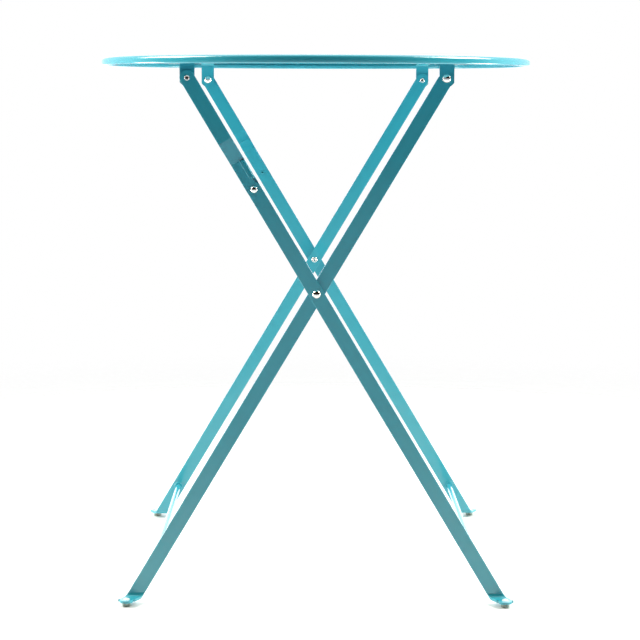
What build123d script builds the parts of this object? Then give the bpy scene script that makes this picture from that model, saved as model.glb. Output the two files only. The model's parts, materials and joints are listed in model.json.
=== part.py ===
"""Folding bistro table: a round pressed-steel top on two crossed frames of flat steel bar.

Millimetres. +Z is up, +X is to the right seen from the front and +Y points to the back. The origin
is on the floor below the middle of the top. The table is symmetric front to back, so each front
piece is built once and mirrored across the XZ plane for the back.

In the front view the two frames make an X. The inner frame runs from the right end of the top
down to the left, the outer frame from the left end down to the right. The outer legs stop at a
knee; a short cranked link carries on from the knee to the left end of the top. To fold the table
the knee breaks and the top swings down on to the legs.
"""

import os
from math import atan2, cos, degrees, hypot, pi, sin, tan

from build123d import *

# ---- whole table -------------------------------------------------------------------------------
TABLE_HEIGHT = 715.0
TOP_DIAMETER = 600.0

# ---- pivots in the front view ------------------------------------------------------------------
PIVOT_DROP = 28.0  # top surface down to the two pivots under it
PIVOT_HALF_SPACING = 164.0  # middle of the top out to each of those pivots
CROSSING_DROP = 303.6  # top surface down to the rivet where the legs cross
LINK_LENGTH = 163.8  # top pivot to knee; just under the half spacing, so that the table folds flat

# ---- pan-shaped top ----------------------------------------------------------------------------
SHEET = 1.2
RIM_HEIGHT = 10.5
RIM_RADIUS = 5.0
HEM_RADIUS = 1.3  # middle line of the edge turned back inside the rim
HEM_RETURN = 3.0

# ---- flat bar ----------------------------------------------------------------------------------
BAR_WIDTH = 19.0
BAR_THICKNESS = 3.5
LINK_THICKNESS = 3.0
RAIL_THICKNESS = 3.0
BAR_EDGE_RADIUS = 0.6
BEND_RADIUS = 3.0  # inside radius of the bends in rails, links and tongues
FOOT_BEND_RADIUS = 5.0
FOOT_BEND_STEPS = 6  # cross-sections that the bend of a foot is drawn through, less one
EAR_BELOW_PIVOT = 10.0
EAR_CHAMFER = 4.2

# ---- layers at the front, counted outward from the middle plane of the table -------------------
INNER_LEG_FACE = 215.5  # inner face of the inner legs
PIVOT_GAP = 1.5  # washer gap between neighbouring bars
LEFT_EAR_GAP = 1.0  # washer gap between the left ear and the link
KNEE_GAP = 0.5
LINK_CRANK = 5.0  # outward step of the link, which makes room for the left ear

# ---- knee, measured up the leg from the knee pivot ---------------------------------------------
CRANK_START = 41.0
CRANK_END = 71.0
LEG_TONGUE_BEND = 40.5  # the leg's upper end follows the link's crank from here
LEG_TONGUE_END = 55.0
STOP_TAB_START = 14.0
STOP_TAB_END = 39.5
STOP_TAB_COVER = 7.2  # how far the tab reaches back over the link
STOP_TAB_PLAY = 0.3
STOP_TAB_BEND_RADIUS = 0.75
STOP_TAB_LOW_CORNER = 2.8
STOP_TAB_HIGH_CORNER = 1.2
TONGUE_CORNER = 5.0

# ---- feet and crossbars ------------------------------------------------------------------------
GLIDE_HEIGHT = 5.5
GLIDE_RADIUS = 5.75
GLIDE_EDGE = 1.5
GLIDE_STEM_RADIUS = 3.0
GLIDE_STEM_ABOVE = 0.8
GLIDE_CAP_RADIUS = 4.2
GLIDE_CAP_HEIGHT = 1.7
GLIDE_OUT = 14.5  # outer face of the leg out to the middle of the glide
CROSSBAR_RADIUS = 4.0
CROSSBAR_FROM_CROSSING = 418.0
CROSSBAR_WELD_RADIUS = 6.0
CROSSBAR_WELD_LENGTH = 2.5

# ---- rivets and washers ------------------------------------------------------------------------
PIVOT_RIVET = {"head": 5.3, "dome": 2.8, "shank": 3.0}
KNEE_RIVET = {"head": 4.4, "dome": 2.4, "shank": 2.5}
TAIL_HEIGHT = 1.0  # of the ring that the hollow end of a rivet is rolled into
TAIL_HOLLOW_DEPTH = 3.0
CROSSING_TAIL = {"ring": 4.4, "hollow": 1.6}
TOP_TAIL = {"ring": 3.7, "hollow": 1.6}
KNEE_TAIL = {"ring": 3.0, "hollow": 1.7}
RUNNING_CLEARANCE = 0.08  # radial, in the bar that turns on a rivet
SIDE_CLEARANCE = 0.2  # under a head or a tail that the bar turns against
WASHER_RADIUS = 7.0
OPEN_PIVOT_GAP = 0.4  # between the two halves of the rivets at the right ears

# ---- worked out --------------------------------------------------------------------------------
PIVOT_Z = TABLE_HEIGHT - PIVOT_DROP
CROSSING_Z = TABLE_HEIGHT - CROSSING_DROP
LEAN = atan2(PIVOT_HALF_SPACING, PIVOT_Z - CROSSING_Z)  # of the legs, from upright
UPPER_LENGTH = hypot(PIVOT_HALF_SPACING, PIVOT_Z - CROSSING_Z)
KNEE_TO_CROSSING = UPPER_LENGTH - LINK_LENGTH
KNEE_X = -KNEE_TO_CROSSING * sin(LEAN)
KNEE_Z = CROSSING_Z + KNEE_TO_CROSSING * cos(LEAN)

HALF_WIDTH = BAR_WIDTH / 2
OUTER_LEG_FACE = INNER_LEG_FACE + BAR_THICKNESS + PIVOT_GAP
OUTER_LEG_OUTSIDE = OUTER_LEG_FACE + BAR_THICKNESS
LINK_FACE = OUTER_LEG_OUTSIDE + KNEE_GAP
LINK_OUTSIDE = LINK_FACE + LINK_THICKNESS
UPPER_LINK_FACE = LINK_FACE + LINK_CRANK
LEFT_EAR_OUTSIDE = UPPER_LINK_FACE - LEFT_EAR_GAP
LEFT_EAR_FACE = LEFT_EAR_OUTSIDE - RAIL_THICKNESS
RIGHT_EAR_FACE = OUTER_LEG_FACE
RIGHT_EAR_OUTSIDE = RIGHT_EAR_FACE + RAIL_THICKNESS

PLATE_TOP = GLIDE_HEIGHT + BAR_THICKNESS
LEG_BEND_Z = PLATE_TOP + FOOT_BEND_RADIUS
RAIL_TOP = TABLE_HEIGHT - SHEET
INNER_BLANK = PIVOT_Z / cos(LEAN) + BAR_WIDTH  # straight bars that reach past the floor, uncut
OUTER_BLANK = KNEE_Z / cos(LEAN) + BAR_WIDTH
OVERCUT = 1.0  # how far a cutter reaches past what it cuts
SAME_LENGTH = 0.1  # edges whose lengths differ by less are taken as equal


# ---- helpers -----------------------------------------------------------------------------------
def front_point(x, out, z):
    """A point given by its distance out from the middle plane, on the front side."""
    return (x, -out, z)


def bar_profile_plane(pivot, lean):
    """Plane through a bar's edge view: X runs up the bar, Y points outward at the front."""
    return Plane(origin=pivot, x_dir=(sin(lean), 0, cos(lean)), z_dir=(cos(lean), 0, -sin(lean)))


def bar_face_plane(pivot, lean):
    """Plane of a bar's wide face, with X up the bar and the normal outward at the front."""
    return Plane(origin=pivot, x_dir=(sin(lean), 0, cos(lean)), z_dir=(0, -1, 0))


def outward_cylinder(x, z, radius, start, end):
    """A cylinder across the table, from one distance out from the middle plane to another."""
    plane = Plane(origin=front_point(x, start, z), z_dir=(0, -1, 0))
    return extrude(plane * Circle(radius), end - start)


def bent_bar(path, thickness, plane, width, inside_radius=BEND_RADIUS):
    """A flat bar whose middle line, in edge view, is a list of points with rounded corners."""
    middle = Line(*path) if len(path) == 2 else FilletPolyline(*path, radius=inside_radius + thickness / 2)
    return extrude(plane * trace(middle, thickness), width / 2, both=True)


def soften(bar):
    """Round the edges of a bar's wide faces, but not the lines where it bends."""
    long = bar.edges().filter_by(lambda edge: edge.length > BAR_THICKNESS + SAME_LENGTH)
    rim = long.filter_by(lambda edge: abs(edge.length - BAR_WIDTH) > SAME_LENGTH)
    return fillet(rim, BAR_EDGE_RADIUS)


def dome(radius, height):
    """A round head standing on the XY plane."""
    sphere = (radius**2 + height**2) / (2 * height)
    half = radius / 2**0.5
    waist = height - sphere + (sphere**2 - half**2) ** 0.5
    outline = [Line((0, 0), (radius, 0)), ThreePointArc((radius, 0), (half, waist), (0, height))]
    outline.append(Line((0, height), (0, 0)))
    return revolve(Plane.XZ * make_face(outline), Axis.Z)


def rolled_tail(tail):
    """The hollow end of a rivet rolled over into a half-round ring, standing on the XY plane."""
    inside, outside = (tail["hollow"], 0), (tail["ring"], 0)
    crown = ((tail["hollow"] + tail["ring"]) / 2, TAIL_HEIGHT)
    section = make_face([Line(inside, outside), ThreePointArc(outside, crown, inside)])
    return revolve(Plane.XZ * section, Axis.Z)


def add_tail(body, x, z, tail, at, direction):
    """Roll a ring on to a rivet's end at a face, direction +1 outward or -1 inward, and hollow it."""
    plane = Plane(origin=front_point(x, at, z), z_dir=(0, -direction, 0))
    hollow = Pos(0, 0, -TAIL_HOLLOW_DEPTH) * extrude(Circle(tail["hollow"]), TAIL_HOLLOW_DEPTH + OVERCUT)
    return body + plane * rolled_tail(tail) - plane * hollow


def domed_pin(x, z, size, head_at, direction, start, end):
    """A rivet's shank from start to end, with its domed head at head_at facing +1 outward or -1 inward."""
    head_plane = Plane(origin=front_point(x, head_at, z), z_dir=(0, -direction, 0))
    return head_plane * dome(size["head"], size["dome"]) + outward_cylinder(x, z, size["shank"], start, end)


def ring(x, z, hole, start, end):
    """A flat washer across the table."""
    disc = outward_cylinder(x, z, WASHER_RADIUS, start, end)
    return disc - outward_cylinder(x, z, hole, start - OVERCUT, end + OVERCUT)


# ---- pieces of the top -------------------------------------------------------------------------
def table_top():
    """Pressed pan: a flat disc, a rounded edge, a short rim and a hem turned back inside it."""
    radius = TOP_DIAMETER / 2
    half = SHEET / 2
    rim_x = radius - half
    hem_z = TABLE_HEIGHT - RIM_HEIGHT + half + HEM_RADIUS
    back_x = rim_x - 2 * HEM_RADIUS
    bend = RIM_RADIUS - half
    flat_z = TABLE_HEIGHT - half
    corner = (rim_x - bend, flat_z - bend)
    flat = Line((0, flat_z), (corner[0], flat_z))
    edge = CenterArc(corner, bend, 90, -90)
    rim = Line((rim_x, corner[1]), (rim_x, hem_z))
    hem = CenterArc((rim_x - HEM_RADIUS, hem_z), HEM_RADIUS, 0, -180)
    hem_back = Line((back_x, hem_z), (back_x, hem_z + HEM_RETURN))
    section = trace([flat, edge, rim, hem, hem_back], SHEET)
    return revolve(Plane.XZ * section, Axis.Z)


def rail(x, ear_face, rivet_hole):
    """Cross rail under the top, with both ends bent down into ears for the pivots."""
    middle_z = RAIL_TOP - RAIL_THICKNESS / 2
    out = ear_face + RAIL_THICKNESS / 2
    bottom = PIVOT_Z - EAR_BELOW_PIVOT
    path = [(-out, bottom), (-out, middle_z), (out, middle_z), (out, bottom)]
    plane = Plane(origin=(x, 0, 0), x_dir=(0, 1, 0), z_dir=(1, 0, 0))
    bar = bent_bar(path, RAIL_THICKNESS, plane, BAR_WIDTH)
    corners = bar.edges().filter_by(Axis.Y).group_by(Axis.Z)[0]
    bar = chamfer(corners, EAR_CHAMFER)
    hole = outward_cylinder(x, PIVOT_Z, rivet_hole, -out - RAIL_THICKNESS, out + RAIL_THICKNESS)
    return bar - hole


# ---- legs and links ----------------------------------------------------------------------------
def add_foot(leg, leg_face, side):
    """Cut a leg off above the floor and bend it outward into a level plate with a round end.

    The bend line is level, across the slanting bar, so the plate carries on sideways too. side is
    +1 for a leg that goes down to the right and -1 for one that goes down to the left.
    """
    size = TABLE_HEIGHT
    leg -= Pos(0, -leg_face, LEG_BEND_Z - size / 2) * Box(2 * size, leg_face, size)
    section = leg.faces().sort_by(Axis.Z)[0]
    bend_axis = Axis((0, -leg_face - BAR_THICKNESS - FOOT_BEND_RADIUS, LEG_BEND_Z), (1, 0, 0))
    sideways = side * tan(LEAN) * (FOOT_BEND_RADIUS + BAR_THICKNESS / 2)
    sections = []
    for step in range(FOOT_BEND_STEPS + 1):
        angle = step / FOOT_BEND_STEPS * pi / 2
        sections.append(Pos(sideways * angle, 0, 0) * section.rotate(bend_axis, -degrees(angle)))
    glide_x, glide_out = glide_place(leg_face, side)
    run = (GLIDE_OUT - FOOT_BEND_RADIUS) / cos(LEAN)
    plate = extrude(sections[-1], run, dir=(side * sin(LEAN), -cos(LEAN), 0))
    end = Pos(glide_x, -glide_out, GLIDE_HEIGHT + BAR_THICKNESS / 2) * Cylinder(HALF_WIDTH, BAR_THICKNESS)
    end = fillet(end.edges().filter_by(GeomType.CIRCLE), BAR_EDGE_RADIUS)
    leg = leg + loft(sections) + plate + end
    return leg - Pos(glide_x, -glide_out, PLATE_TOP) * Cylinder(GLIDE_STEM_RADIUS, 4 * BAR_THICKNESS)


def glide_place(leg_face, side):
    """Where a glide sits: its X and its distance out from the middle plane."""
    out = leg_face + BAR_THICKNESS + GLIDE_OUT
    bend_x = (CROSSING_Z - LEG_BEND_Z) * tan(LEAN)
    along_bend = (FOOT_BEND_RADIUS + BAR_THICKNESS / 2) * pi / 2
    return side * (bend_x + tan(LEAN) * (along_bend + GLIDE_OUT - FOOT_BEND_RADIUS)), out


def inner_leg():
    """Straight bar from the right ear down to the left foot."""
    pivot = front_point(PIVOT_HALF_SPACING, 0, PIVOT_Z)
    middle = INNER_LEG_FACE + BAR_THICKNESS / 2
    path = [(-INNER_BLANK, middle), (HALF_WIDTH, middle)]
    bar = bent_bar(path, BAR_THICKNESS, bar_profile_plane(pivot, LEAN), BAR_WIDTH)
    outline = Pos(-INNER_BLANK / 2, 0) * Rectangle(INNER_BLANK, BAR_WIDTH) + Circle(HALF_WIDTH)
    bar &= extrude(bar_face_plane(pivot, LEAN) * outline, 2 * INNER_LEG_FACE)
    bar = add_foot(soften(bar), INNER_LEG_FACE, -1)
    for x, z in ((PIVOT_HALF_SPACING, PIVOT_Z), (0, CROSSING_Z)):
        bar -= outward_cylinder(x, z, PIVOT_RIVET["shank"], 0, 2 * INNER_LEG_FACE)
    return bar


def outer_leg():
    """Bar from above the knee down to the right foot, with the tab that stops the knee."""
    knee = front_point(KNEE_X, 0, KNEE_Z)
    middle = OUTER_LEG_FACE + BAR_THICKNESS / 2
    slope = LINK_CRANK / (CRANK_END - CRANK_START)
    tongue = middle + slope * (LEG_TONGUE_END - LEG_TONGUE_BEND)
    path = [(-OUTER_BLANK, middle), (LEG_TONGUE_BEND, middle), (LEG_TONGUE_END, tongue)]
    bar = bent_bar(path, BAR_THICKNESS, bar_profile_plane(knee, -LEAN), BAR_WIDTH)
    outline = Rectangle(OUTER_BLANK + LEG_TONGUE_END, BAR_WIDTH)
    outline = fillet(outline.vertices().group_by(Axis.X)[-1], TONGUE_CORNER)
    outline = Pos((LEG_TONGUE_END - OUTER_BLANK) / 2, 0) * outline
    bar &= extrude(bar_face_plane(knee, -LEAN) * outline, 2 * OUTER_LEG_FACE)
    bar = add_foot(soften(bar), OUTER_LEG_FACE, 1)
    bar = bar - tab_relief() + stop_tab()
    bar -= outward_cylinder(KNEE_X, KNEE_Z, KNEE_RIVET["shank"], 0, 2 * OUTER_LEG_FACE)
    hole = PIVOT_RIVET["shank"] + RUNNING_CLEARANCE
    return bar - outward_cylinder(0, CROSSING_Z, hole, 0, 2 * OUTER_LEG_FACE)


def tab_plane():
    """Plane across the outer leg at the middle of the stop tab: X to the right, Y outward."""
    along = (STOP_TAB_START + STOP_TAB_END) / 2
    origin = front_point(KNEE_X - along * sin(LEAN), 0, KNEE_Z + along * cos(LEAN))
    return Plane(origin=origin, x_dir=(cos(LEAN), 0, sin(LEAN)), z_dir=(sin(LEAN), 0, -cos(LEAN)))


def tab_relief():
    """The strip of the leg's right edge that is bent up to make the stop tab."""
    block = Box(2 * BAR_THICKNESS, 4 * BAR_THICKNESS, STOP_TAB_END - STOP_TAB_START)
    return tab_plane() * (Pos(HALF_WIDTH, OUTER_LEG_FACE + BAR_THICKNESS / 2) * block)


def stop_tab():
    """Tab from the right edge of the outer leg, folded outward and back over the edge of the link."""
    middle = OUTER_LEG_FACE + BAR_THICKNESS / 2
    wall = HALF_WIDTH - BAR_THICKNESS / 2
    cover = LINK_OUTSIDE + STOP_TAB_PLAY + BAR_THICKNESS / 2
    path = [(0, middle), (wall, middle), (wall, cover), (HALF_WIDTH - STOP_TAB_COVER, cover)]
    length = STOP_TAB_END - STOP_TAB_START  # tab_plane's normal points down the leg
    tab = bent_bar(path, BAR_THICKNESS, tab_plane(), length, STOP_TAB_BEND_RADIUS)
    for end, radius in ((length / 2, STOP_TAB_LOW_CORNER), (-length / 2, STOP_TAB_HIGH_CORNER)):
        corner = tab_plane().from_local_coords((HALF_WIDTH - STOP_TAB_COVER, cover, end))
        across = tab.edges().filter_by(lambda edge: abs(edge.length - BAR_THICKNESS) < SAME_LENGTH)
        tab = fillet(across.sort_by_distance(corner)[0], radius)
    flap = tab.faces().sort_by(Axis.Y)[0]
    rim = flap.edges().filter_by(lambda edge: edge.length < length - SAME_LENGTH)
    return fillet(rim, BAR_EDGE_RADIUS)


def knee_link():
    """Cranked link from the knee up to the left ear, cut back on one side to pass the stop tab."""
    knee = front_point(KNEE_X, 0, KNEE_Z)
    middle = LINK_FACE + LINK_THICKNESS / 2
    path = [
        (-HALF_WIDTH, middle),
        (CRANK_START, middle),
        (CRANK_END, middle + LINK_CRANK),
        (LINK_LENGTH + HALF_WIDTH, middle + LINK_CRANK),
    ]
    link = bent_bar(path, LINK_THICKNESS, bar_profile_plane(knee, -LEAN), BAR_WIDTH)
    narrow = BAR_WIDTH - BAR_THICKNESS - STOP_TAB_PLAY
    outline = Circle(HALF_WIDTH) + Pos(LINK_LENGTH, 0) * Circle(HALF_WIDTH)
    outline += Pos(CRANK_START / 2, (BAR_WIDTH - narrow) / 2) * Rectangle(CRANK_START + 1, narrow)
    upper = LINK_LENGTH - CRANK_START
    outline += Pos(LINK_LENGTH - upper / 2, 0) * Rectangle(upper, BAR_WIDTH)
    link &= extrude(bar_face_plane(knee, -LEAN) * outline, 2 * LINK_FACE)
    straight = link.edges().filter_by(GeomType.LINE)
    link = fillet(straight.filter_by(lambda edge: edge.length > BAR_WIDTH + 1), BAR_EDGE_RADIUS)
    link -= outward_cylinder(KNEE_X, KNEE_Z, KNEE_RIVET["shank"] + RUNNING_CLEARANCE, 0, 2 * LINK_FACE)
    hole = PIVOT_RIVET["shank"] + RUNNING_CLEARANCE
    return link - outward_cylinder(-PIVOT_HALF_SPACING, PIVOT_Z, hole, 0, 2 * LINK_FACE)


def crossbar(leg_face, side):
    """Round bar welded between the front and back legs of one frame."""
    x = side * CROSSBAR_FROM_CROSSING * sin(LEAN)
    z = CROSSING_Z - CROSSBAR_FROM_CROSSING * cos(LEAN)
    bar = outward_cylinder(x, z, CROSSBAR_RADIUS, -leg_face, leg_face)
    for direction in (-1, 1):
        base = Plane(origin=(x, direction * leg_face, z), z_dir=(0, -direction, 0))
        weld = Cone(CROSSBAR_WELD_RADIUS, CROSSBAR_RADIUS, CROSSBAR_WELD_LENGTH)
        bar += base * Pos(0, 0, CROSSBAR_WELD_LENGTH / 2) * weld
    return bar


# ---- feet --------------------------------------------------------------------------------------
def glide(leg_face, side):
    """Plastic foot under a leg's plate, with a stem that passes up through the plate."""
    x, out = glide_place(leg_face, side)
    pad = extrude(Circle(GLIDE_RADIUS), GLIDE_HEIGHT)
    pad = fillet(pad.edges().group_by(Axis.Z)[0], GLIDE_EDGE)
    stem_top = PLATE_TOP + GLIDE_STEM_ABOVE
    return Pos(x, -out, 0) * (pad + extrude(Circle(GLIDE_STEM_RADIUS), stem_top))


def glide_cap(leg_face, side):
    """Domed cap pressed on to a glide's stem above the plate."""
    x, out = glide_place(leg_face, side)
    cap = dome(GLIDE_CAP_RADIUS, GLIDE_CAP_HEIGHT) - extrude(Circle(GLIDE_STEM_RADIUS), GLIDE_STEM_ABOVE)
    return Pos(x, -out, PLATE_TOP) * cap


# ---- fasteners ---------------------------------------------------------------------------------
def crossing_rivet():
    """Rivet fixed in the inner leg; the outer leg turns on it."""
    head = OUTER_LEG_OUTSIDE + SIDE_CLEARANCE
    pin = domed_pin(0, CROSSING_Z, PIVOT_RIVET, head, 1, INNER_LEG_FACE, head)
    return add_tail(pin, 0, CROSSING_Z, CROSSING_TAIL, INNER_LEG_FACE, -1)


def knee_rivet():
    """Rivet fixed in the outer leg; the link turns on it."""
    head = LINK_OUTSIDE + SIDE_CLEARANCE
    pin = domed_pin(KNEE_X, KNEE_Z, KNEE_RIVET, head, 1, OUTER_LEG_FACE, head)
    return add_tail(pin, KNEE_X, KNEE_Z, KNEE_TAIL, OUTER_LEG_FACE, -1)


def link_rivet():
    """Rivet fixed in the left ear; the top end of the link turns on it."""
    x = -PIVOT_HALF_SPACING
    end = UPPER_LINK_FACE + LINK_THICKNESS + SIDE_CLEARANCE
    pin = domed_pin(x, PIVOT_Z, PIVOT_RIVET, LEFT_EAR_FACE, -1, LEFT_EAR_FACE, end)
    return add_tail(pin, x, PIVOT_Z, TOP_TAIL, end, 1)


def top_rivet():
    """Ear's half of the rivet at the right pivot: head and shank, flush with the ear's inner face."""
    x = PIVOT_HALF_SPACING
    return domed_pin(x, PIVOT_Z, PIVOT_RIVET, RIGHT_EAR_OUTSIDE, 1, RIGHT_EAR_FACE, RIGHT_EAR_OUTSIDE)


def top_rivet_tail():
    """Leg's half of the rivet at the right pivot: rolled tail and shank, level with its washer."""
    x, end = PIVOT_HALF_SPACING, RIGHT_EAR_FACE - OPEN_PIVOT_GAP
    shank = outward_cylinder(x, PIVOT_Z, PIVOT_RIVET["shank"], INNER_LEG_FACE, end)
    return add_tail(shank, x, PIVOT_Z, TOP_TAIL, INNER_LEG_FACE, -1)


def crossing_washer():
    """Washer between the crossing legs."""
    start = INNER_LEG_FACE + BAR_THICKNESS
    return ring(0, CROSSING_Z, PIVOT_RIVET["shank"], start, OUTER_LEG_FACE - SIDE_CLEARANCE)


def top_washer():
    """Washer between the inner leg and the right ear."""
    start = INNER_LEG_FACE + BAR_THICKNESS
    return ring(PIVOT_HALF_SPACING, PIVOT_Z, PIVOT_RIVET["shank"], start, RIGHT_EAR_FACE - OPEN_PIVOT_GAP)


def link_washer():
    """Washer between the left ear and the link."""
    end = UPPER_LINK_FACE - SIDE_CLEARANCE
    return ring(-PIVOT_HALF_SPACING, PIVOT_Z, PIVOT_RIVET["shank"], LEFT_EAR_OUTSIDE, end)


# ---- assembly ----------------------------------------------------------------------------------
WHOLE_PIECES = {
    "table_top": table_top(),
    "left_rail": rail(-PIVOT_HALF_SPACING, LEFT_EAR_FACE, PIVOT_RIVET["shank"]),
    "right_rail": rail(PIVOT_HALF_SPACING, RIGHT_EAR_FACE, PIVOT_RIVET["shank"]),
    "inner_crossbar": crossbar(INNER_LEG_FACE, -1),
    "outer_crossbar": crossbar(OUTER_LEG_FACE, 1),
}

FRONT_PIECES = {
    "inner_leg": inner_leg(),
    "outer_leg": outer_leg(),
    "knee_link": knee_link(),
    "crossing_rivet": crossing_rivet(),
    "knee_rivet": knee_rivet(),
    "link_rivet": link_rivet(),
    "top_rivet": top_rivet(),
    "top_rivet_tail": top_rivet_tail(),
    "crossing_washer": crossing_washer(),
    "top_washer": top_washer(),
    "link_washer": link_washer(),
    "inner_glide": glide(INNER_LEG_FACE, -1),
    "inner_glide_cap": glide_cap(INNER_LEG_FACE, -1),
    "outer_glide": glide(OUTER_LEG_FACE, 1),
    "outer_glide_cap": glide_cap(OUTER_LEG_FACE, 1),
}

os.makedirs("parts", exist_ok=True)
for name, shape in WHOLE_PIECES.items():
    export_step(shape, f"parts/{name}.step")
for name, shape in FRONT_PIECES.items():
    export_step(shape, f"parts/{name}_front.step")
    export_step(mirror(shape, about=Plane.XZ), f"parts/{name}_rear.step")
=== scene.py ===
"""Looks of the folding bistro table: painted steel, plated rivets, plastic glides, studio and camera.

The CAD nodes get their materials, the pan of the top is turned again as one smooth sheet, and the weld
beads are added.
"""

import json
import random
from math import cos, pi, sin

import bpy
from mathutils import Matrix, Vector


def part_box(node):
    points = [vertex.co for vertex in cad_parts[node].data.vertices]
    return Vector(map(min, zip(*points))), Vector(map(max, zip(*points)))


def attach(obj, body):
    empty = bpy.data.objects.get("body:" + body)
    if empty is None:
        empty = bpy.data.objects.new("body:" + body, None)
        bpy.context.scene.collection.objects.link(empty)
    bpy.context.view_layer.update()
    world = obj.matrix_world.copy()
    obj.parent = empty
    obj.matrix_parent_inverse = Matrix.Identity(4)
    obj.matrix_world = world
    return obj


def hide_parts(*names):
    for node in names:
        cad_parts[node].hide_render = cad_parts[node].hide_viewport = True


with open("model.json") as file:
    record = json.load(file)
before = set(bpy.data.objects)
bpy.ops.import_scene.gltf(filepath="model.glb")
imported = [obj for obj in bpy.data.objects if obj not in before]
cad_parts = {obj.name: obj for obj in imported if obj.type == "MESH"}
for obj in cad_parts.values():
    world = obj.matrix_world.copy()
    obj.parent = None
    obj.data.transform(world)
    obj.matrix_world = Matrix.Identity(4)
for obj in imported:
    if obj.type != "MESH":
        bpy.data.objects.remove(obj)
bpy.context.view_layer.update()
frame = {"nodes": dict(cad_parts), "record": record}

nodes = frame["nodes"]


# ---------------------------------------------------------------- material tools

NOISE_LOW = 0.3  # most of a noise texture's values lie between these two
NOISE_HIGH = 0.7


def new_material(name):
    """An empty node material with its Principled shader: (material, nodes, links, shader)."""
    material = bpy.data.materials.new(name)
    material.use_nodes = True
    tree = material.node_tree
    shader = tree.nodes["Principled BSDF"]
    return material, tree.nodes, tree.links, shader


def object_coordinates(tree_nodes):
    """A point's place in the space of its object, in metres."""
    return tree_nodes.new("ShaderNodeTexCoord").outputs["Object"]


def axis_values(tree_nodes, links, vector):
    """A vector's values, by the names X, Y and Z."""
    node = tree_nodes.new("ShaderNodeSeparateXYZ")
    links.new(vector, node.inputs["Vector"])
    return node.outputs


def noise(tree_nodes, links, coordinates, scale, detail=3.0, roughness=0.5):
    """A noise texture in object space; scale is in cells per metre."""
    texture = tree_nodes.new("ShaderNodeTexNoise")
    texture.inputs["Scale"].default_value = scale
    texture.inputs["Detail"].default_value = detail
    texture.inputs["Roughness"].default_value = roughness
    links.new(coordinates, texture.inputs["Vector"])
    return texture.outputs["Fac"]


def remap(tree_nodes, links, value, low=0.0, high=1.0):
    """A noise texture's value, spread from its usual range to low..high."""
    node = tree_nodes.new("ShaderNodeMapRange")
    node.inputs["From Min"].default_value = NOISE_LOW
    node.inputs["From Max"].default_value = NOISE_HIGH
    node.inputs["To Min"].default_value = low
    node.inputs["To Max"].default_value = high
    links.new(value, node.inputs["Value"])
    return node.outputs["Result"]


def smooth_range(tree_nodes, links, value, start, end):
    """0 at start, 1 at end, with a soft change between."""
    node = tree_nodes.new("ShaderNodeMapRange")
    node.interpolation_type = "SMOOTHSTEP"
    node.inputs["From Min"].default_value = start
    node.inputs["From Max"].default_value = end
    links.new(value, node.inputs["Value"])
    return node.outputs["Result"]


def math_node(tree_nodes, links, operation, first, second=None):
    """The result of an operation on one value, or on two when second is a number or another value."""
    node = tree_nodes.new("ShaderNodeMath")
    node.operation = operation
    links.new(first, node.inputs[0])
    if isinstance(second, float):
        node.inputs[1].default_value = second
    elif second is not None:
        links.new(second, node.inputs[1])
    return node.outputs["Value"]


def mix_colours(tree_nodes, links, share, first, second):
    """A blend of two fixed colours, all first where share is 0 and all second where it is 1."""
    node = tree_nodes.new("ShaderNodeMix")
    node.data_type = "RGBA"
    node.inputs["A"].default_value = (*first, 1.0)
    node.inputs["B"].default_value = (*second, 1.0)
    links.new(share, node.inputs["Factor"])
    return node.outputs["Result"]


def bump(tree_nodes, links, height, depth, normal=None):
    """A bump of that depth in metres, on top of an earlier one."""
    node = tree_nodes.new("ShaderNodeBump")
    node.inputs["Strength"].default_value = 1.0
    node.inputs["Distance"].default_value = depth
    links.new(height, node.inputs["Height"])
    if normal is not None:
        links.new(normal, node.inputs["Normal"])
    return node.outputs["Normal"]


# ---------------------------------------------------------------- materials

TURQUOISE = (0.038, 0.372, 0.472)
TURQUOISE_SHADE = (0.032, 0.348, 0.450)
NICKEL = (0.86, 0.85, 0.83)
NICKEL_TARNISH = (0.76, 0.75, 0.73)
ZINC = (0.70, 0.71, 0.72)
ZINC_TARNISH = (0.58, 0.59, 0.60)
GLIDE_GREY = (0.26, 0.33, 0.30)
GLIDE_GREY_SHADE = (0.23, 0.30, 0.27)
CAP_WHITE = (0.74, 0.76, 0.75)
CAP_WHITE_SHADE = (0.70, 0.72, 0.71)

# Noise scales, in cells per metre.
COLOUR_DRIFT_SCALE = 7
SHEET_WAVE_SCALE = 11
GLOSS_SCALE = 18
ORANGE_PEEL_SCALE = 380
TARNISH_SCALE = 260
TOOL_MARK_SCALE = 900
PLASTIC_CLOUD_SCALE = 120
PLASTIC_GRAIN_SCALE = 2600

# Depths of bumps, in metres.
TOP_WAVINESS = 0.00006
BAR_WAVINESS = 0.00003
ORANGE_PEEL_DEPTH = 0.000006
TOOL_MARK_DEPTH = 0.000003
PLASTIC_GRAIN_DEPTH = 0.00002

# Roughness, from the smoothest patches to the roughest.
PAINT_ROUGHNESS = (0.16, 0.24)
NICKEL_ROUGHNESS = (0.05, 0.11)
ZINC_ROUGHNESS = (0.28, 0.42)
KNEE_RIVET_ROUGHNESS = (0.06, 0.12)
GLIDE_ROUGHNESS = (0.37, 0.50)
CAP_ROUGHNESS = (0.33, 0.46)

COAT_WEIGHT = 0.8
COAT_ROUGHNESS = 0.03
TAIL_DEPTH = 0.004  # from a tail's crown to the bottom of its hollow


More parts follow.
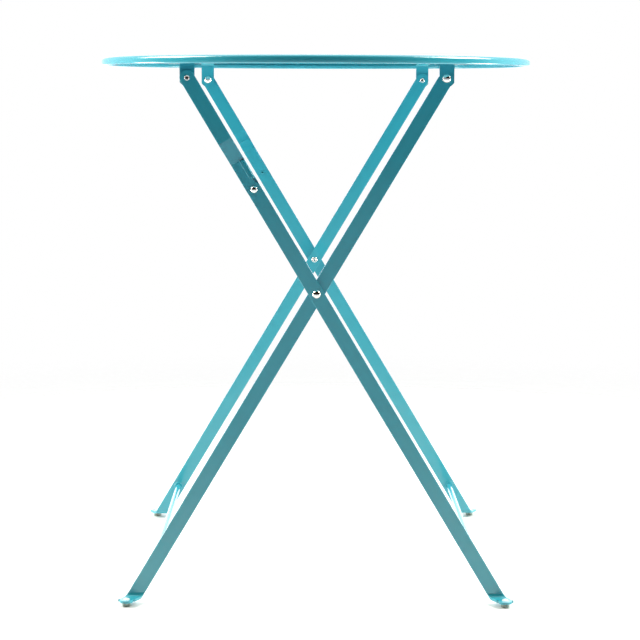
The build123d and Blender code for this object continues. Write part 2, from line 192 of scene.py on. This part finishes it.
def powder_coat(name, waviness):
    """Glossy powder coat on steel: faint orange peel, a little colour drift and uneven gloss."""
    material, tree_nodes, links, shader = new_material(name)
    place = object_coordinates(tree_nodes)

    drift = remap(tree_nodes, links, noise(tree_nodes, links, place, COLOUR_DRIFT_SCALE, detail=2))
    colour = mix_colours(tree_nodes, links, drift, TURQUOISE, TURQUOISE_SHADE)
    links.new(colour, shader.inputs["Base Color"])

    gloss = noise(tree_nodes, links, place, GLOSS_SCALE, detail=3)
    links.new(remap(tree_nodes, links, gloss, *PAINT_ROUGHNESS), shader.inputs["Roughness"])

    sheet_waves = noise(tree_nodes, links, place, SHEET_WAVE_SCALE, detail=1)
    normal = bump(tree_nodes, links, sheet_waves, waviness)
    orange_peel = noise(tree_nodes, links, place, ORANGE_PEEL_SCALE, detail=1)
    normal = bump(tree_nodes, links, orange_peel, ORANGE_PEEL_DEPTH, normal)
    links.new(normal, shader.inputs["Normal"])

    shader.inputs["Coat Weight"].default_value = COAT_WEIGHT
    shader.inputs["Coat Roughness"].default_value = COAT_ROUGHNESS
    return material


def add_tool_marks(tree_nodes, links, place, shader, roughness):
    """Faint tool marks, in a shader's gloss and in its surface."""
    marks = noise(tree_nodes, links, place, TOOL_MARK_SCALE, detail=5, roughness=0.7)
    links.new(remap(tree_nodes, links, marks, *roughness), shader.inputs["Roughness"])
    links.new(bump(tree_nodes, links, marks, TOOL_MARK_DEPTH), shader.inputs["Normal"])


def plated_steel(name, colour, tarnish, roughness):
    """Bright zinc or nickel plating with faint tool marks."""
    material, tree_nodes, links, shader = new_material(name)
    place = object_coordinates(tree_nodes)
    spots = remap(tree_nodes, links, noise(tree_nodes, links, place, TARNISH_SCALE, detail=4))
    links.new(mix_colours(tree_nodes, links, spots, colour, tarnish), shader.inputs["Base Color"])
    add_tool_marks(tree_nodes, links, place, shader, roughness)
    shader.inputs["Metallic"].default_value = 1.0
    return material


def painted_tail_rivet(name, painted_within):
    """A nickel rivet whose tail is painted over: all of it that is nearer y = 0 than painted_within."""
    material, tree_nodes, links, shader = new_material(name)
    place = object_coordinates(tree_nodes)
    from_middle = math_node(tree_nodes, links, "ABSOLUTE", axis_values(tree_nodes, links, place)["Y"])
    plated = math_node(tree_nodes, links, "GREATER_THAN", from_middle, painted_within)
    links.new(mix_colours(tree_nodes, links, plated, TURQUOISE, NICKEL), shader.inputs["Base Color"])
    links.new(plated, shader.inputs["Metallic"])
    add_tool_marks(tree_nodes, links, place, shader, KNEE_RIVET_ROUGHNESS)
    return material


def moulded_plastic(name, colour, shade, roughness):
    """Moulded plastic with a fine spark-eroded grain."""
    material, tree_nodes, links, shader = new_material(name)
    place = object_coordinates(tree_nodes)
    clouds = remap(tree_nodes, links, noise(tree_nodes, links, place, PLASTIC_CLOUD_SCALE))
    links.new(mix_colours(tree_nodes, links, clouds, colour, shade), shader.inputs["Base Color"])
    grain = noise(tree_nodes, links, place, PLASTIC_GRAIN_SCALE, detail=2)
    links.new(remap(tree_nodes, links, grain, *roughness), shader.inputs["Roughness"])
    links.new(bump(tree_nodes, links, grain, PLASTIC_GRAIN_DEPTH), shader.inputs["Normal"])
    return material


MATERIALS = {
    "top_paint": powder_coat("turquoise_top_paint", TOP_WAVINESS),
    "frame_paint": powder_coat("turquoise_frame_paint", BAR_WAVINESS),
    "rivet_steel": plated_steel("rivet_nickel", NICKEL, NICKEL_TARNISH, NICKEL_ROUGHNESS),
    "washer_steel": plated_steel("washer_zinc", ZINC, ZINC_TARNISH, ZINC_ROUGHNESS),
    "glide_plastic": moulded_plastic("grey_glide", GLIDE_GREY, GLIDE_GREY_SHADE, GLIDE_ROUGHNESS),
    "cap_plastic": moulded_plastic("pale_cap", CAP_WHITE, CAP_WHITE_SHADE, CAP_ROUGHNESS),
}


def paint_cad_nodes():
    """Every CAD node gets its slot's material; the knee rivets' tails are painted with the legs."""
    tail_crown = abs(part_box("knee_rivet_front")[1][1])
    knee_rivet = painted_tail_rivet("painted_tail_rivet", tail_crown + TAIL_DEPTH)
    for part in frame["record"]["subparts"]:
        is_knee_rivet = part["node"].startswith("knee_rivet")
        material = knee_rivet if is_knee_rivet else MATERIALS[part["material_slot"]]
        for slot in nodes[part["node"]].material_slots:
            slot.material = material


paint_cad_nodes()


# ---------------------------------------------------------------- shape tools

ACROSS = Vector((1, 0, 0))
ALONG = Vector((0, 1, 0))
UP = Vector((0, 0, 1))


def full_turn(steps):
    """Angles in equal steps round a circle."""
    return [2 * pi * k / steps for k in range(steps)]


def finished_piece(name, vertices, faces):
    """A smooth-shaded mesh object in the scene."""
    mesh = bpy.data.meshes.new(name)
    mesh.from_pydata(vertices, [], faces)
    mesh.shade_smooth()
    piece = bpy.data.objects.new(name, mesh)
    bpy.context.scene.collection.objects.link(piece)
    return piece


# ---------------------------------------------------------------- the pressed top

LATHE_STEPS = 288
ARC_STEPS = 10
CUT_EDGE_STEPS = 6
SHEET = 0.0012
EDGE_RADIUS = 0.005  # outside radius of the bend between the flat disc and the rim
HEM_RADIUS = 0.0013  # of the sheet's middle line where its edge turns back inside the rim
HEM_RETURN = 0.003  # from the height of the hem's bend up to the sheet's cut edge
FLAT_RINGS = (0.05, 0.12, 0.19, 0.25)  # radii of the rings of points on the flat disc
SUPPORT_RING = 0.0006  # distance of the ring that keeps the flat flat beside its rounded edge


def arc(centre, radius, start, end, steps=ARC_STEPS):
    """Points of an arc in the section plane, from one angle to another in right angles."""
    angles = [(start + (end - start) * k / steps) * pi / 2 for k in range(steps + 1)]
    return [(centre[0] + radius * cos(angle), centre[1] + radius * sin(angle)) for angle in angles]


def pan_section(radius, top, bottom):
    """Half the pan's section as (radius, height): out along the top, round the hem, back underneath."""
    half = SHEET / 2
    middle = radius - half
    hem_centre = (middle - HEM_RADIUS, bottom + half + HEM_RADIUS)
    edge_centre = (radius - EDGE_RADIUS, top - EDGE_RADIUS)
    cut_centre = (middle - 2 * HEM_RADIUS, hem_centre[1] + HEM_RETURN)
    rings = [*FLAT_RINGS, edge_centre[0] - SUPPORT_RING]
    flat_top = [(ring, top) for ring in rings]
    edge_outside = arc(edge_centre, EDGE_RADIUS, 1, 0)
    hem_outside = arc(hem_centre, HEM_RADIUS + half, 0, -2)
    cut_edge = arc(cut_centre, half, 2, 0, CUT_EDGE_STEPS)
    hem_inside = arc(hem_centre, HEM_RADIUS - half, -2, 0)
    edge_inside = arc(edge_centre, EDGE_RADIUS - SHEET, 0, 1)
    flat_under = [(ring, top - SHEET) for ring in reversed(rings)]
    return flat_top + edge_outside + hem_outside + cut_edge + hem_inside + edge_inside + flat_under


def lathe(name, section):
    """A closed turned solid whose section starts and ends beside the axis at two heights."""
    vertices = [(ring * cos(turn), ring * sin(turn), height)
                for ring, height in section for turn in full_turn(LATHE_STEPS)]
    upper_centre = len(vertices)
    lower_centre = upper_centre + 1
    vertices += [(0.0, 0.0, section[0][1]), (0.0, 0.0, section[-1][1])]
    last = (len(section) - 1) * LATHE_STEPS
    faces = []
    for k in range(LATHE_STEPS):
        after = (k + 1) % LATHE_STEPS
        faces.append((upper_centre, k, after))
        faces.append((lower_centre, last + after, last + k))
        for row in range(0, last, LATHE_STEPS):
            next_row = row + LATHE_STEPS
            faces.append((row + k, next_row + k, next_row + after, row + after))
    return finished_piece(name, vertices, faces)


def make_pan():
    """The pan as one smooth turned sheet, of the CAD pan's own section."""
    low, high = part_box("table_top")
    pan = lathe("pressed_pan", pan_section(high[0], high[2], low[2]))
    pan.data.materials.append(MATERIALS["top_paint"])
    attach(pan, "top")
    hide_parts("table_top")


# ---------------------------------------------------------------- weld beads

BEAD_SIDES = 12
RIPPLE_PITCH = 0.0011  # the step between two ripples of a bead
ROWS_PER_RIPPLE = 4
# Shares of a bead's radius: between two ripples, what a ripple adds, and the unevenness.
RIPPLE_VALLEY = 0.90
RIPPLE_RISE = 0.14
UNEVENNESS = 0.03
END_SIZE = 0.25  # share of a straight bead's radius that is left at its ends
TAPERS_IN_LENGTH = 5  # each end tapers over one fifth of a straight bead
CROSSBAR_BEAD = {"ring": 0.0054, "radius": 0.0013, "rows": 120}
RAIL_BEAD = {"length": 0.022, "radius": 0.0011, "places": (-0.17, -0.06, 0.06, 0.17)}
RAIL_BEAD_DROP = 0.5  # from the pan to a rail bead's middle line, as a share of its radius
BEAD_SEED = 7
bead_random = random.Random(BEAD_SEED)


def bead_radius(distance, radius):
    """A weld bead's radius: overlapping ripples, a little uneven."""
    ripple = abs(sin(pi * distance / RIPPLE_PITCH))
    return radius * (RIPPLE_VALLEY + RIPPLE_RISE * ripple + bead_random.uniform(-UNEVENNESS, UNEVENNESS))


def bead_row(middle, sideways, upward, radius):
    """Points round a bead at one place of its middle line."""
    return [middle + (sideways * cos(turn) + upward * sin(turn)) * radius for turn in full_turn(BEAD_SIDES)]


def bead_ring(centre):
    """Rows of points for a bead round a crossbar's end."""
    ring = CROSSBAR_BEAD["ring"]
    rows = []
    for angle in full_turn(CROSSBAR_BEAD["rows"]):
        outward = Vector((cos(angle), 0.0, sin(angle)))
        radius = bead_radius(ring * angle, CROSSBAR_BEAD["radius"])
        rows.append(bead_row(centre + outward * ring, outward, ALONG, radius))
    return rows


def bead_run(start):
    """Rows of points for a straight bead beside a rail, tapering off at both ends."""
    length = RAIL_BEAD["length"]
    steps = round(ROWS_PER_RIPPLE * length / RIPPLE_PITCH)
    rows = []
    for k in range(steps + 1):
        share = k / steps
        taper = min(1.0, TAPERS_IN_LENGTH * share, TAPERS_IN_LENGTH * (1 - share))
        size = END_SIZE + (1 - END_SIZE) * sin(taper * pi / 2)
        radius = bead_radius(length * share, RAIL_BEAD["radius"]) * size
        rows.append(bead_row(start + ALONG * length * share, ACROSS, UP, radius))
    return rows


def skin_rows(name, rows, closed):
    """A tube through rows of points, joined into a ring or capped at both ends."""
    vertices = [tuple(point) for row in rows for point in row]
    spans = len(rows) if closed else len(rows) - 1
    faces = []
    for row in range(spans):
        here = row * BEAD_SIDES
        there = (row + 1) % len(rows) * BEAD_SIDES
        for side in range(BEAD_SIDES):
            after = (side + 1) % BEAD_SIDES
            faces.append((here + side, here + after, there + after, there + side))
    if not closed:
        last = (len(rows) - 1) * BEAD_SIDES
        faces.append(tuple(range(BEAD_SIDES))[::-1])
        faces.append(tuple(last + side for side in range(BEAD_SIDES)))
    return finished_piece(name, vertices, faces)


def finish_bead(bead, body, slot):
    """A bead gets the paint of what it joins, and moves with it."""
    bead.data.materials.append(MATERIALS[slot])
    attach(bead, body)


def make_crossbar_beads():
    """A rippled bead round each end of both crossbars, where they are welded to the legs."""
    inset = CROSSBAR_BEAD["radius"]
    for frame_name, body in (("inner", "inner_frame"), ("outer", "outer_frame")):
        low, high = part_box(f"{frame_name}_crossbar")
        middle = (Vector(low) + Vector(high)) / 2
        for end, y in (("front", low[1] + inset), ("rear", high[1] - inset)):
            rows = bead_ring(Vector((middle.x, y, middle.z)))
            finish_bead(skin_rows(f"{frame_name}_crossbar_weld_{end}", rows, True), body, "frame_paint")


def make_rail_beads():
    """Short stitch welds along both sides of the rails, in the corner under the pan."""
    under_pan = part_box("table_top")[1][2] - SHEET
    height = under_pan - RAIL_BEAD["radius"] * RAIL_BEAD_DROP
    for rail in ("left_rail", "right_rail"):
        low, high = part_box(rail)
        places = [(x, y) for x in (low[0], high[0]) for y in RAIL_BEAD["places"]]
        for number, (x, y) in enumerate(places, start=1):
            rows = bead_run(Vector((x, y - RAIL_BEAD["length"] / 2, height)))
            finish_bead(skin_rows(f"{rail}_stitch_weld_{number}", rows, False), "top", "top_paint")


make_pan()
make_crossbar_beads()
make_rail_beads()


# ---------------------------------------------------------------- studio and camera

FLOOR_RADIUS = 1.9
FLOOR_FADE_START = 0.55
FLOOR_STEPS = 96
FLOOR_WHITE = (0.80, 0.80, 0.80)
FLOOR_ROUGHNESS = 0.75

COVE_WHITE = (0.86, 0.92, 1.00)
ROOM_BROWN = (0.018, 0.012, 0.009)
WARM_LIGHT = (1.00, 0.98, 0.86)
WHITE_LIGHT = (1.0, 1.0, 1.0)
STUDIO_BRIGHTNESS = 1.04
CENTRE_EXTRA = 1.3
GROUND_SHARE = 0.75  # of the cove's colour that the ground in front has
# Each area fades in between two values of a direction's Y, or of its Z for the ground.
COVE_EDGE = (-0.15, 0.35)
CENTRE_EDGE = (0.86, 0.97)
GROUND_EDGE = (-0.02, -0.12)

# The side boxes are given as they stand on the right; each has a twin on the left.
HIGH_BOX = {"place": (1.3, -0.05, 1.7), "aim": (0, 0.05, 0.35), "size": (0.9, 0.9),
            "watts": 37, "colour": WARM_LIGHT}
LOW_BOX = {"place": (1.3, 0.0, 0.28), "aim": (0, 0, 0.28), "size": (0.4, 0.45),
           "watts": 13, "colour": WARM_LIGHT}
OVERHEAD_BOX = {"place": (0.0, 0.1, 2.4), "aim": (0, 0, 0.7), "size": (2.4, 1.6),
                "watts": 13, "colour": WHITE_LIGHT}

SENSOR_WIDTH = 36.0
CAMERA_LENS = 93.2
CAMERA_PLACE = (-0.0165, -2.340, 0.6732)
# Radians: down, to the right, and anticlockwise as the camera sees it.
CAMERA_PITCH = 0.1385
CAMERA_TURN = 0.0099
CAMERA_ROLL = 0.0031


def make_floor():
    """A pale round floor that fades into the backdrop away from the table."""
    mesh = bpy.data.meshes.new("floor")
    ring = [(FLOOR_RADIUS * cos(turn), FLOOR_RADIUS * sin(turn), 0.0) for turn in full_turn(FLOOR_STEPS)]
    mesh.from_pydata(ring, [], [list(range(FLOOR_STEPS))])
    floor = bpy.data.objects.new("floor", mesh)
    bpy.context.scene.collection.objects.link(floor)

    material, tree_nodes, links, shader = new_material("pale_floor")
    shader.inputs["Base Color"].default_value = (*FLOOR_WHITE, 1.0)
    shader.inputs["Roughness"].default_value = FLOOR_ROUGHNESS
    distance = tree_nodes.new("ShaderNodeVectorMath")
    distance.operation = "LENGTH"
    links.new(object_coordinates(tree_nodes), distance.inputs[0])
    fade = smooth_range(tree_nodes, links, distance.outputs["Value"], FLOOR_FADE_START, FLOOR_RADIUS)
    clear = tree_nodes.new("ShaderNodeBsdfTransparent")
    blend = tree_nodes.new("ShaderNodeMixShader")
    links.new(fade, blend.inputs["Fac"])
    links.new(shader.outputs["BSDF"], blend.inputs[1])
    links.new(clear.outputs["BSDF"], blend.inputs[2])
    links.new(blend.outputs["Shader"], tree_nodes["Material Output"].inputs["Surface"])
    mesh.materials.append(material)


def make_world():
    """A white cove behind and beside the table, brightest in its middle, and an unlit room in front.

    The ground in front is lit too, less than the cove. What lies behind the table looks plain white,
    whichever side it is seen from.
    """
    world = bpy.data.worlds.new("studio")
    bpy.context.scene.world = world
    world.use_nodes = True
    tree_nodes, links = world.node_tree.nodes, world.node_tree.links
    direction = axis_values(tree_nodes, links, tree_nodes.new("ShaderNodeTexCoord").outputs["Generated"])
    cove = smooth_range(tree_nodes, links, direction["Y"], *COVE_EDGE)
    ground = smooth_range(tree_nodes, links, direction["Z"], *GROUND_EDGE)
    ground = math_node(tree_nodes, links, "MULTIPLY", ground, GROUND_SHARE)
    lit = math_node(tree_nodes, links, "MAXIMUM", cove, ground)
    centre = smooth_range(tree_nodes, links, direction["Y"], *CENTRE_EDGE)
    centre = math_node(tree_nodes, links, "MULTIPLY", centre, CENTRE_EXTRA)
    strength = math_node(tree_nodes, links, "ADD", centre, STUDIO_BRIGHTNESS)

    studio = tree_nodes["Background"]
    links.new(mix_colours(tree_nodes, links, lit, ROOM_BROWN, COVE_WHITE), studio.inputs["Color"])
    links.new(strength, studio.inputs["Strength"])
    backdrop = tree_nodes.new("ShaderNodeBackground")
    backdrop.inputs["Color"].default_value = (1.0, 1.0, 1.0, 1.0)
    rays = tree_nodes.new("ShaderNodeLightPath")
    mix = tree_nodes.new("ShaderNodeMixShader")
    links.new(rays.outputs["Is Camera Ray"], mix.inputs["Fac"])
    links.new(studio.outputs["Background"], mix.inputs[1])
    links.new(backdrop.outputs["Background"], mix.inputs[2])
    links.new(mix.outputs["Shader"], tree_nodes["World Output"].inputs["Surface"])


def softbox(name, box, side=1):
    """A rectangular area light that looks at its aim; side -1 puts it on the left."""
    x, y, z = box["place"]
    place = Vector((side * x, y, z))
    light = bpy.data.lights.new(name, "AREA")
    light.shape = "RECTANGLE"
    light.size, light.size_y = box["size"]
    light.energy = box["watts"]
    light.color = box["colour"]
    lamp = bpy.data.objects.new(name, light)
    bpy.context.scene.collection.objects.link(lamp)
    lamp.location = place
    lamp.rotation_mode = "QUATERNION"
    lamp.rotation_quaternion = (Vector(box["aim"]) - place).to_track_quat("-Z", "Y")
    lamp.visible_camera = False


def make_lights():
    """Two warm softboxes on each side of the table, and a white one overhead."""
    for side, word in ((-1, "left"), (1, "right")):
        softbox(f"{word}_high_softbox", HIGH_BOX, side)
        softbox(f"{word}_low_softbox", LOW_BOX, side)
    softbox("overhead_softbox", OVERHEAD_BOX)


def make_camera():
    """A long lens a little below the level of the top, looking slightly down."""
    pitch, turn, roll = CAMERA_PITCH, CAMERA_TURN, CAMERA_ROLL
    forward = Vector((sin(turn) * cos(pitch), cos(turn) * cos(pitch), -sin(pitch)))
    level = Vector((cos(turn), -sin(turn), 0.0))
    upright = level.cross(forward)
    right = level * cos(roll) + upright * sin(roll)
    up = upright * cos(roll) - level * sin(roll)
    camera_data = bpy.data.cameras.new("camera")
    camera_data.lens = CAMERA_LENS
    camera_data.sensor_width = SENSOR_WIDTH
    camera = bpy.data.objects.new("camera", camera_data)
    bpy.context.scene.collection.objects.link(camera)
    axes = Matrix((right, up, -forward)).transposed().to_4x4()
    camera.matrix_world = Matrix.Translation(Vector(CAMERA_PLACE)) @ axes
    bpy.context.scene.camera = camera


bpy.context.scene.view_settings.view_transform = "Standard"
make_floor()
make_world()
make_lights()
make_camera()
